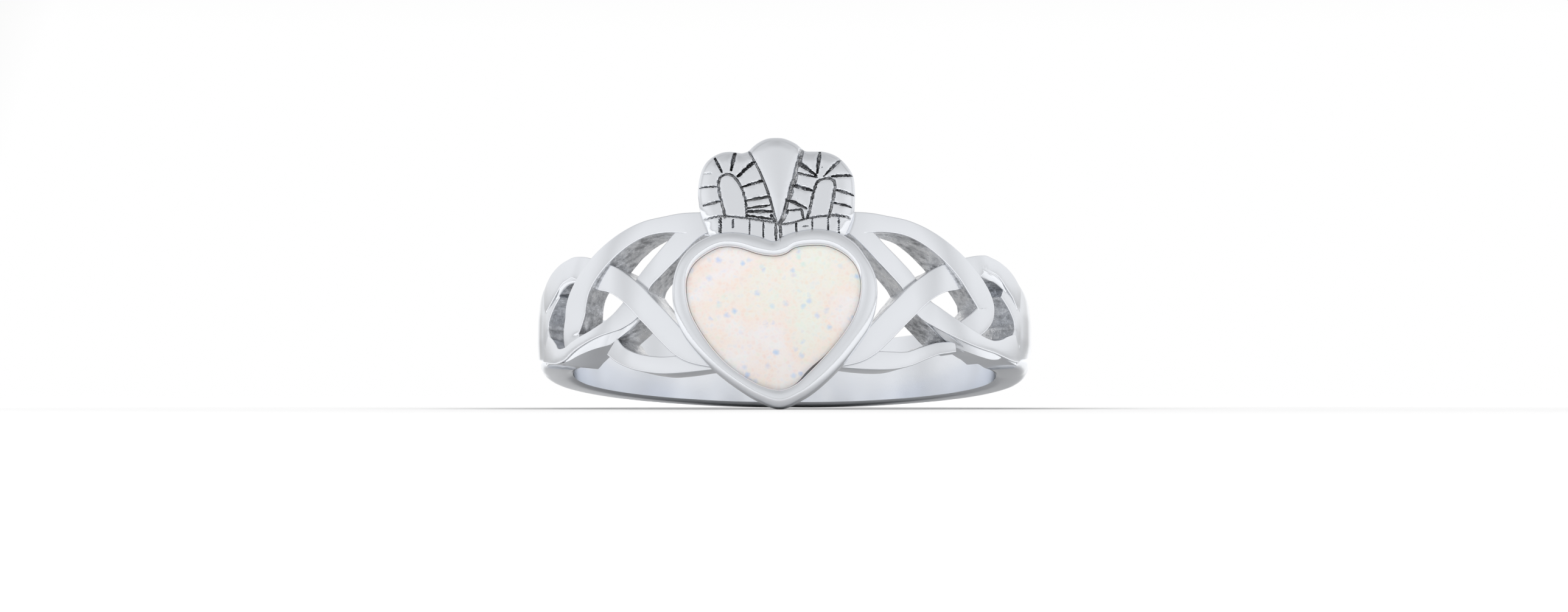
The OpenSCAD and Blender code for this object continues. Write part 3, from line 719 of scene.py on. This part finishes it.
def opal():
    """The stone: flat back, upright side, bevelled edge and low dome."""
    line = heart_loop(0, 0)
    x, z = OPAL_SLIP_AT
    slip = np.exp(-((line[:, 0] - x) ** 2 + (line[:, 2] - z) ** 2) / OPAL_SLIP_SPREAD)
    seat = POCKET_SIDE * SEAT * (1 - slip) - OPAL_SLIP * slip
    rings = [heart_loop(seat, OPAL_BACK), heart_loop(seat, OPAL_EDGE - OPAL_SIDE)]
    for size in OPAL_RINGS:
        bevel = OPAL_BEVEL * max(0, size - 0.95) / 0.05
        rings.append(heart_loop(seat, OPAL_EDGE + OPAL_DOME * (1 - size**2) ** 0.8 - bevel, size))
    return skin("opal_heart_stone", rings)


def segment_distance(x, z, a, b):
    """Distance to a straight piece, and the share of the way along it."""
    ax, az, bx, bz = a[0], a[1], b[0], b[1]
    dx, dz = bx - ax, bz - az
    t = np.clip(((x - ax) * dx + (z - az) * dz) / (dx * dx + dz * dz), 0, 1)
    return np.hypot(x - ax - t * dx, z - az - t * dz), t


def line_distance(x, z, points):
    best = np.full(x.shape, 9.0)
    for a, b in zip(points[:-1], points[1:]):
        best = np.minimum(best, segment_distance(x, z, a, b)[0])
    return best


# How far the middle lobe swells between its two lines, and from what height.
SWELL = 0.07
SWELL_FROM = 2.5


def crown_relief(x, z):
    """Depth under the crown's face, and how much painted shade lies there, from 0 to 1."""
    wobble = lattice_noise(x, z, 0.15, 3)
    grain = lattice_noise(x, z, 0.07, 4)
    shade_patch = 0.62 + 0.5 * lattice_noise(x, z, 0.24, 5)
    drop, dark = np.zeros(x.shape), np.zeros(x.shape)

    def cut(near, half, deep, rough):
        nonlocal drop, dark
        half = half * (1 + 0.45 * rough * wobble) + 0.012 * rough * grain
        e = np.clip(1 - near / half, 0, 1)
        floor = deep * (1 + rough * 0.35 * grain) * np.minimum(1, e * 2.2)
        shoulder = 0.20 * deep * np.clip(1 - near / (half * 3.6), 0, 1) ** 2
        drop = np.maximum(drop, np.maximum(floor, shoulder))
        # Painted shade: darkest in the middle of the deeper lines, and patchy along them.
        dark = np.maximum(dark, np.clip(e * 1.4, 0, 1) * shade_patch * np.clip(deep / 0.14, 0.3, 1))

    for points, half, deep, rough in LINES:
        cut(line_distance(x, z, even(smooth(points, 4), 40)), half, deep, rough)
    for ax, az, bx, bz, half_a, half_b, deep in CUTS:
        near, t = segment_distance(x, z, (ax, az), (bx, bz))
        half = mixed(half_a, half_b, t) * (0.65 + 0.35 * np.sin(math.pi * t))
        cut(near, half, deep, CUT_ROUGH)
    left, right = (np.interp(z, *np.array(line)[::-1, ::-1].T) for line in (FAN_LEFT, FAN_RIGHT))
    v = np.clip((2 * x - left - right) / (right - left), -1, 1)
    inside = (z > SWELL_FROM) * (1 - v**2)
    return drop - SWELL * inside * np.clip(z - SWELL_FROM, 0, 1), dark


CROWN_POINTS = 560
CROWN_MIDDLE = np.array([0.08, 3.66])
# Above this height the crown's edge is free and rounded: how far in, and how far it falls.
CROWN_FREE_FROM = 2.0
CROWN_EDGE = 0.5
CROWN_EDGE_FALL = 0.34
# Rings of the crown from its back to its face's edge: depth from the back, size.
CROWN_WALL = [(0.0, 0.985), (0.04, 0.998), (0.12, 1.0)]
CROWN_FACE_RINGS = np.concatenate([
    [1, 0.997, 0.992, 0.985, 0.976, 0.966], np.linspace(0.955, 0.012, 78)])


def crown():
    """The crown: a wall round its outline, and a face with rounded edges and cut lines."""
    outline = even(smooth(CROWN, 10, loop=True), CROWN_POINTS, loop=True)
    free = outline[outline[:, 1] > CROWN_FREE_FROM]
    free_edges = [(a, b) for a, b in zip(free, np.roll(free, -1, axis=0))
                  if np.hypot(*(a - b)) < 0.5]
    rings = []
    for depth, size in CROWN_WALL:
        p = CROWN_MIDDLE + (outline - CROWN_MIDDLE) * size
        rings.append(np.stack([p[:, 0], np.full(len(p), -(CROWN_BACK + depth)), p[:, 1]], -1))
    for size in CROWN_FACE_RINGS:
        p = CROWN_MIDDLE + (outline - CROWN_MIDDLE) * size
        near = np.full(len(p), 9.0)
        for a, b in free_edges:
            near = np.minimum(near, segment_distance(p[:, 0], p[:, 1], a, b)[0])
        e = np.clip(1 - near / CROWN_EDGE, 0, 1) * 0.97
        drop, _ = crown_relief(p[:, 0], p[:, 1])
        round_off = CROWN_EDGE_FALL * (1 - np.sqrt(1 - e * e))
        depth = CROWN_FACE - round_off - drop * (1 - 0.6 * e**4)
        rings.append(np.stack([p[:, 0], -depth, p[:, 1]], -1))
    return skin("crown", rings)


def lay_down(obj):
    """Tips a finished mesh into the part's frame, in metres, and keeps it inside the CAD's box."""
    co = np.zeros(len(obj.data.vertices) * 3)
    obj.data.vertices.foreach_get("co", co)
    x, y, z = co.reshape(-1, 3).T
    c, s = math.cos(TILT), math.sin(TILT)
    out = np.stack([x, y * c + z * s, z * c - y * s], -1) * MM
    out = np.clip(out, cad_box[0], cad_box[1])
    obj.data.vertices.foreach_set("co", out.ravel())
    obj.data.update()


def shade(obj, sharp):
    """Smooth shading, with the edges above that many degrees kept sharp."""
    faces = obj.data.polygons
    faces.foreach_set("use_smooth", np.ones(len(faces), bool))
    obj.data.set_sharp_from_angle(angle=math.radians(sharp))


# The stone and the floor


def opal_material():
    """Milky peach ground, small flakes with pale veins between them, and a few blue spots."""
    m, shader, node, links = material("opal")
    place = node("ShaderNodeTexCoord").outputs["Object"]
    warp = noise(node, place, 1800.0, 2.0).outputs["Color"]
    bent = node("ShaderNodeVectorMath", {0: warp, 1: (0.00016,) * 3}, operation="MULTIPLY")
    moved = node("ShaderNodeVectorMath", {0: place, 1: bent.outputs[0]}, operation="ADD").outputs[0]

    cells = node("ShaderNodeTexVoronoi", {"Vector": moved, "Scale": 6800.0})
    pick = node("ShaderNodeSeparateColor", {"Color": cells.outputs["Color"]})
    flake = ramp(node, pick.outputs["Red"], [
        (0.00, (0.97, 0.78, 0.69)), (0.16, (0.97, 0.86, 0.77)), (0.32, (0.97, 0.91, 0.87)),
        (0.48, (0.95, 0.76, 0.70)), (0.62, (0.93, 0.92, 0.95)), (0.74, (0.86, 0.91, 0.80)),
        (0.84, (0.82, 0.87, 0.96)), (0.92, (0.96, 0.79, 0.72)), (1.00, (0.97, 0.94, 0.90)),
    ])
    edges = node("ShaderNodeTexVoronoi", {"Vector": moved, "Scale": 6800.0},
                 feature="DISTANCE_TO_EDGE")
    vein = ramp(node, edges.outputs["Distance"], [
        (0.0, grey(0.75)), (0.35, grey(0.15)), (0.6, grey(0.0))])
    veined = blend(node, vein, flake, (0.99, 0.96, 0.92, 1))
    milk = ramp(node, noise(node, place, 330.0, 3.0).outputs["Fac"], [
        (0.34, (0.95, 0.74, 0.66)), (0.45, (0.93, 0.89, 0.92)), (0.55, (0.96, 0.80, 0.72)),
        (0.66, (0.84, 0.90, 0.80))])
    ground = blend(node, 0.5, veined, milk)

    spots = node("ShaderNodeTexVoronoi", {"Vector": moved, "Scale": 3300.0})
    chosen = node("ShaderNodeSeparateColor", {"Color": spots.outputs["Color"]})
    ragged = maths(node, "MULTIPLY", noise(node, place, 9000.0, 1.0).outputs["Fac"], 0.4)
    reach = maths(node, "ADD", spots.outputs["Distance"], ragged)
    core = ramp(node, reach, [(0.34, grey(1.0)), (0.68, grey(0.0))])
    few = ramp(node, chosen.outputs["Green"], [
        (0.70, grey(0.0)), (0.74, grey(0.55)), (0.86, grey(0.6)), (0.90, grey(1.0))])
    tint = ramp(node, chosen.outputs["Blue"], [
        (0.0, (0.50, 0.68, 0.93)), (0.5, (0.62, 0.70, 0.92)), (0.75, (0.66, 0.86, 0.88)),
        (1.0, (0.80, 0.90, 0.78))])
    strength = maths(node, "MULTIPLY", maths(node, "MULTIPLY", core, few), 0.75)
    links.new(blend(node, strength, ground, tint), shader.inputs["Base Color"])
    shader.inputs["Roughness"].default_value = 0.3
    shader.inputs["Specular IOR Level"].default_value = 0.25
    shader.inputs["Subsurface Weight"].default_value = 0.15
    shader.inputs["Subsurface Scale"].default_value = 0.0004
    return m


def floor_material():
    """White, with a painted soft shadow under the ring, and lit from itself far away."""
    m, shader, node, links = material("pale_floor")
    place = node("ShaderNodeTexCoord").outputs["Object"]
    paper = noise(node, place, 60.0, 2.0).outputs["Fac"]
    white = ramp(node, paper, [(0.3, grey(0.985)), (0.7, grey(0.99))])
    away = node("ShaderNodeVectorMath", {0: place}, operation="LENGTH").outputs["Value"]
    # Painted shadow: the floor is darker under and round the ring.
    shade_patch = ramp(node, away, [
        (0.0, grey(0.62)), (0.008, grey(0.50)), (0.0112, grey(0.52)), (0.0135, grey(0.80)),
        (0.016, grey(0.95)), (0.02, grey(1.0))])
    links.new(blend(node, 1.0, white, shade_patch, "MULTIPLY"), shader.inputs["Base Color"])
    far = ramp(node, away, [
        (0.03, grey(0.0)), (0.06, grey(0.08)), (0.15, grey(0.20)), (0.5, grey(0.40)),
        (1.0, grey(0.44))])
    links.new(far, shader.inputs["Emission Color"])
    shader.inputs["Emission Strength"].default_value = 1.0
    shader.inputs["Roughness"].default_value = 0.9
    shader.inputs["Specular IOR Level"].default_value = 0.1
    return m


# The object

# Strands: name, rows to the heart's right and left, points to a row, how far the walls towards the
# weave's middle and towards its edge lean in, and what is added to the side's seed.
STRANDS = [
    ("arc", ARC_RIGHT, ARC_LEFT, 8, 0.35, 0.0, 0),
    ("foot", FOOT_RIGHT, FOOT_LEFT, 8, 0.35, 0.0, 3),
    ("low", LOW_RIGHT, LOW_LEFT, 7, 0.45, 0.45, 1),
    ("high", HIGH, HIGH, 8, 0.45, 0.45, 2),
    ("link", LINK, LINK, 8, 0.08, 0.08, 4),
    ("heel", HEEL, HEEL, 6, 0.0, 0.0, 5),
]
# Facets: name, rows to the heart's right and left, how far each bulges.
FACETS = [
    ("petal", PETAL_RIGHT, PETAL_LEFT, 0.45),
    ("wedge", WEDGE_RIGHT, WEDGE_LEFT, 0.6),
    ("lens", LENS_RIGHT, LENS_LEFT, 0.5),
]
BORE_POINTS = 720
BORE_HALF = 20.0
# The painted shade in the crown's lines: down to this depth under its face, and from this height
# up.
DARK_DEPTH = 0.6
DARK_FROM = 1.8

body = band()
knots = []
for side, seed in ((1, 10), (-1, 20)):
    for name, right, left, steps, lean_in, lean_out, more in STRANDS:
        rows = right if side > 0 else left
        knots.append(strand(name, rows, steps, lean_in, lean_out, side, seed + more))
    for name, right, left, belly in FACETS:
        knots.append(facet(name, right if side > 0 else left, belly, side))
body = joined(body, knots + [crown()], "UNION")
body = joined(body, [pocket_room()], "DIFFERENCE")
body = joined(body, [heart_setting()], "UNION")
angle = np.linspace(0, 2 * math.pi, BORE_POINTS, endpoint=False)
ends = [np.full(BORE_POINTS, z) for z in (-BORE_HALF, BORE_HALF)]
bore = skin("bore", [round_finger(angle, BORE_R, z) for z in ends])
body = joined(body, [bore], "DIFFERENCE")
body = joined(body, [scoop(side) for side in (-1, 1)], "DIFFERENCE")
body.name = body.data.name = "silver_ring_metal"

# The silver's material reads the painted shade in the crown's lines from a point attribute.
mesh = body.data
verts = np.zeros(len(mesh.vertices) * 3)
mesh.vertices.foreach_get("co", verts)
verts = verts.reshape(-1, 3)
_, dark = crown_relief(verts[:, 0], verts[:, 2])
dark = dark * (verts[:, 1] < -(CROWN_FACE - DARK_DEPTH)) * (verts[:, 2] > DARK_FROM)
mesh.attributes.new("groove_shade", "FLOAT", "POINT").data.foreach_set("value", dark.astype(np.float32))
lay_down(body)
shade(body, 38)
body.modifiers.new("normals", "WEIGHTED_NORMAL").keep_sharp = True

stone = opal()
lay_down(stone)
shade(stone, 45)
stone.data.materials.clear()
stone.data.materials.append(opal_material())
stone.data.polygons.foreach_set("material_index", np.zeros(len(stone.data.polygons), np.int32))
for piece in (body, stone):
    print(piece.name, "triangles", sum(len(p.vertices) - 2 for p in piece.data.polygons))

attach(body, "root")
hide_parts("silver_ring")
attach(stone, "root")
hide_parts("opal_heart")

# The floor, the light and the camera

floor_z = cad_box[0][2]
FLOOR_REACH = 3.0
corners = [(x * FLOOR_REACH, y * FLOOR_REACH, floor_z)
           for x, y in ((-1, -1), (1, -1), (1, 1), (-1, 1))]
plane = bpy.data.meshes.new("floor")
plane.from_pydata(corners, [], [(0, 1, 2, 3)])
floor = bpy.data.objects.new("floor", plane)
bpy.context.scene.collection.objects.link(floor)
plane.materials.append(floor_material())


def softbox(name, place, size, watts):
    """A soft lamp aimed at the ring, and not seen in its polish."""
    data = bpy.data.lights.new(name, "AREA")
    data.shape = "RECTANGLE"
    data.size, data.size_y = size
    data.energy = watts
    lamp = bpy.data.objects.new(name, data)
    bpy.context.scene.collection.objects.link(lamp)
    lamp.location = place
    lamp.rotation_euler = (-Vector(place)).to_track_quat("-Z", "Y").to_euler()
    lamp.visible_glossy = False


softbox("key", (-0.10, -0.12, 0.24), (0.20, 0.20), 0.20)
softbox("front", (0.02, -0.30, 0.10), (0.24, 0.16), 0.05)
softbox("back", (0.04, 0.24, 0.16), (0.24, 0.12), 0.22)

world = bpy.data.worlds.new("studio")
bpy.context.scene.world = world
world.use_nodes = True
sky = node_maker(world.node_tree)
split = sky("ShaderNodeSeparateXYZ", {0: sky("ShaderNodeTexCoord").outputs["Generated"]})
# Up the sky: darker at the table's far edge, an even light grey, and a darker ceiling.
climb = ramp(sky, split.outputs["Z"], [
    (0.00, grey(0.44)), (0.03, grey(0.55)), (0.07, grey(0.83)), (0.18, grey(0.87)),
    (0.34, grey(0.84)), (0.50, grey(0.79)), (0.72, grey(0.66)), (1.00, grey(0.58)),
])
# Round the horizon: even, with a narrow dark card behind the camera and one at each side.
turn = maths(sky, "ARCTAN2", split.outputs["X"], split.outputs["Y"])
share = sky("ShaderNodeMapRange", {"Value": turn, "From Min": -math.pi, "From Max": math.pi})
belt = ramp(sky, share.outputs[0], [
    (0.00, grey(0.86)), (0.10, grey(0.98)), (0.18, grey(1.0)), (0.23, grey(0.80)),
    (0.28, grey(1.0)), (0.50, grey(1.0)), (0.72, grey(1.0)), (0.77, grey(0.80)),
    (0.82, grey(1.0)), (0.90, grey(0.98)), (1.00, grey(0.86)),
])
# Plain white low behind the ring, as the photo's ground.
low = sky("ShaderNodeMapRange", {"Value": split.outputs["Z"], "From Min": 0.12, "From Max": 0.24})
behind = sky("ShaderNodeMapRange", {
    "Value": split.outputs["Y"], "From Min": 0.935, "From Max": 0.955})
clear = maths(sky, "MULTIPLY", maths(sky, "SUBTRACT", 1.0, low.outputs[0]), behind.outputs[0])
light = blend(sky, clear, blend(sky, 1.0, climb, belt, "MULTIPLY"), (1, 1, 1, 1))
background = world.node_tree.nodes["Background"]
world.node_tree.links.new(light, background.inputs["Color"])
background.inputs["Strength"].default_value = 1.0

# The photo's size, the pixel at which the middle of the finger hole lies, and its scale.
IMAGE_W, IMAGE_H = 2576, 1006
ORIGIN_AT = (1289, 558)
PX_PER_MM = 40.0
DISTANCE = 0.125
TURN = math.radians(2.3)
CAMERA_LIFT = 0.0004
camera = bpy.data.objects.new("camera", bpy.data.cameras.new("camera"))
bpy.context.scene.collection.objects.link(camera)
camera_z = floor_z + CAMERA_LIFT
flat = math.sqrt(DISTANCE**2 - camera_z**2)
camera.location = (math.sin(TURN) * flat, -math.cos(TURN) * flat, camera_z)
camera.rotation_euler = (-camera.location).to_track_quat("-Z", "Y").to_euler()
camera.data.sensor_width = 36.0
camera.data.lens = PX_PER_MM * DISTANCE / MM * camera.data.sensor_width / IMAGE_W
camera.data.shift_x = (IMAGE_W / 2 - ORIGIN_AT[0]) / IMAGE_W
camera.data.shift_y = (ORIGIN_AT[1] - IMAGE_H / 2) / IMAGE_W
camera.data.clip_start = 0.001
camera.data.clip_end = 20.0
camera.data.dof.use_dof = False
bpy.context.scene.camera = camera
bpy.context.scene.view_settings.view_transform = "Standard"
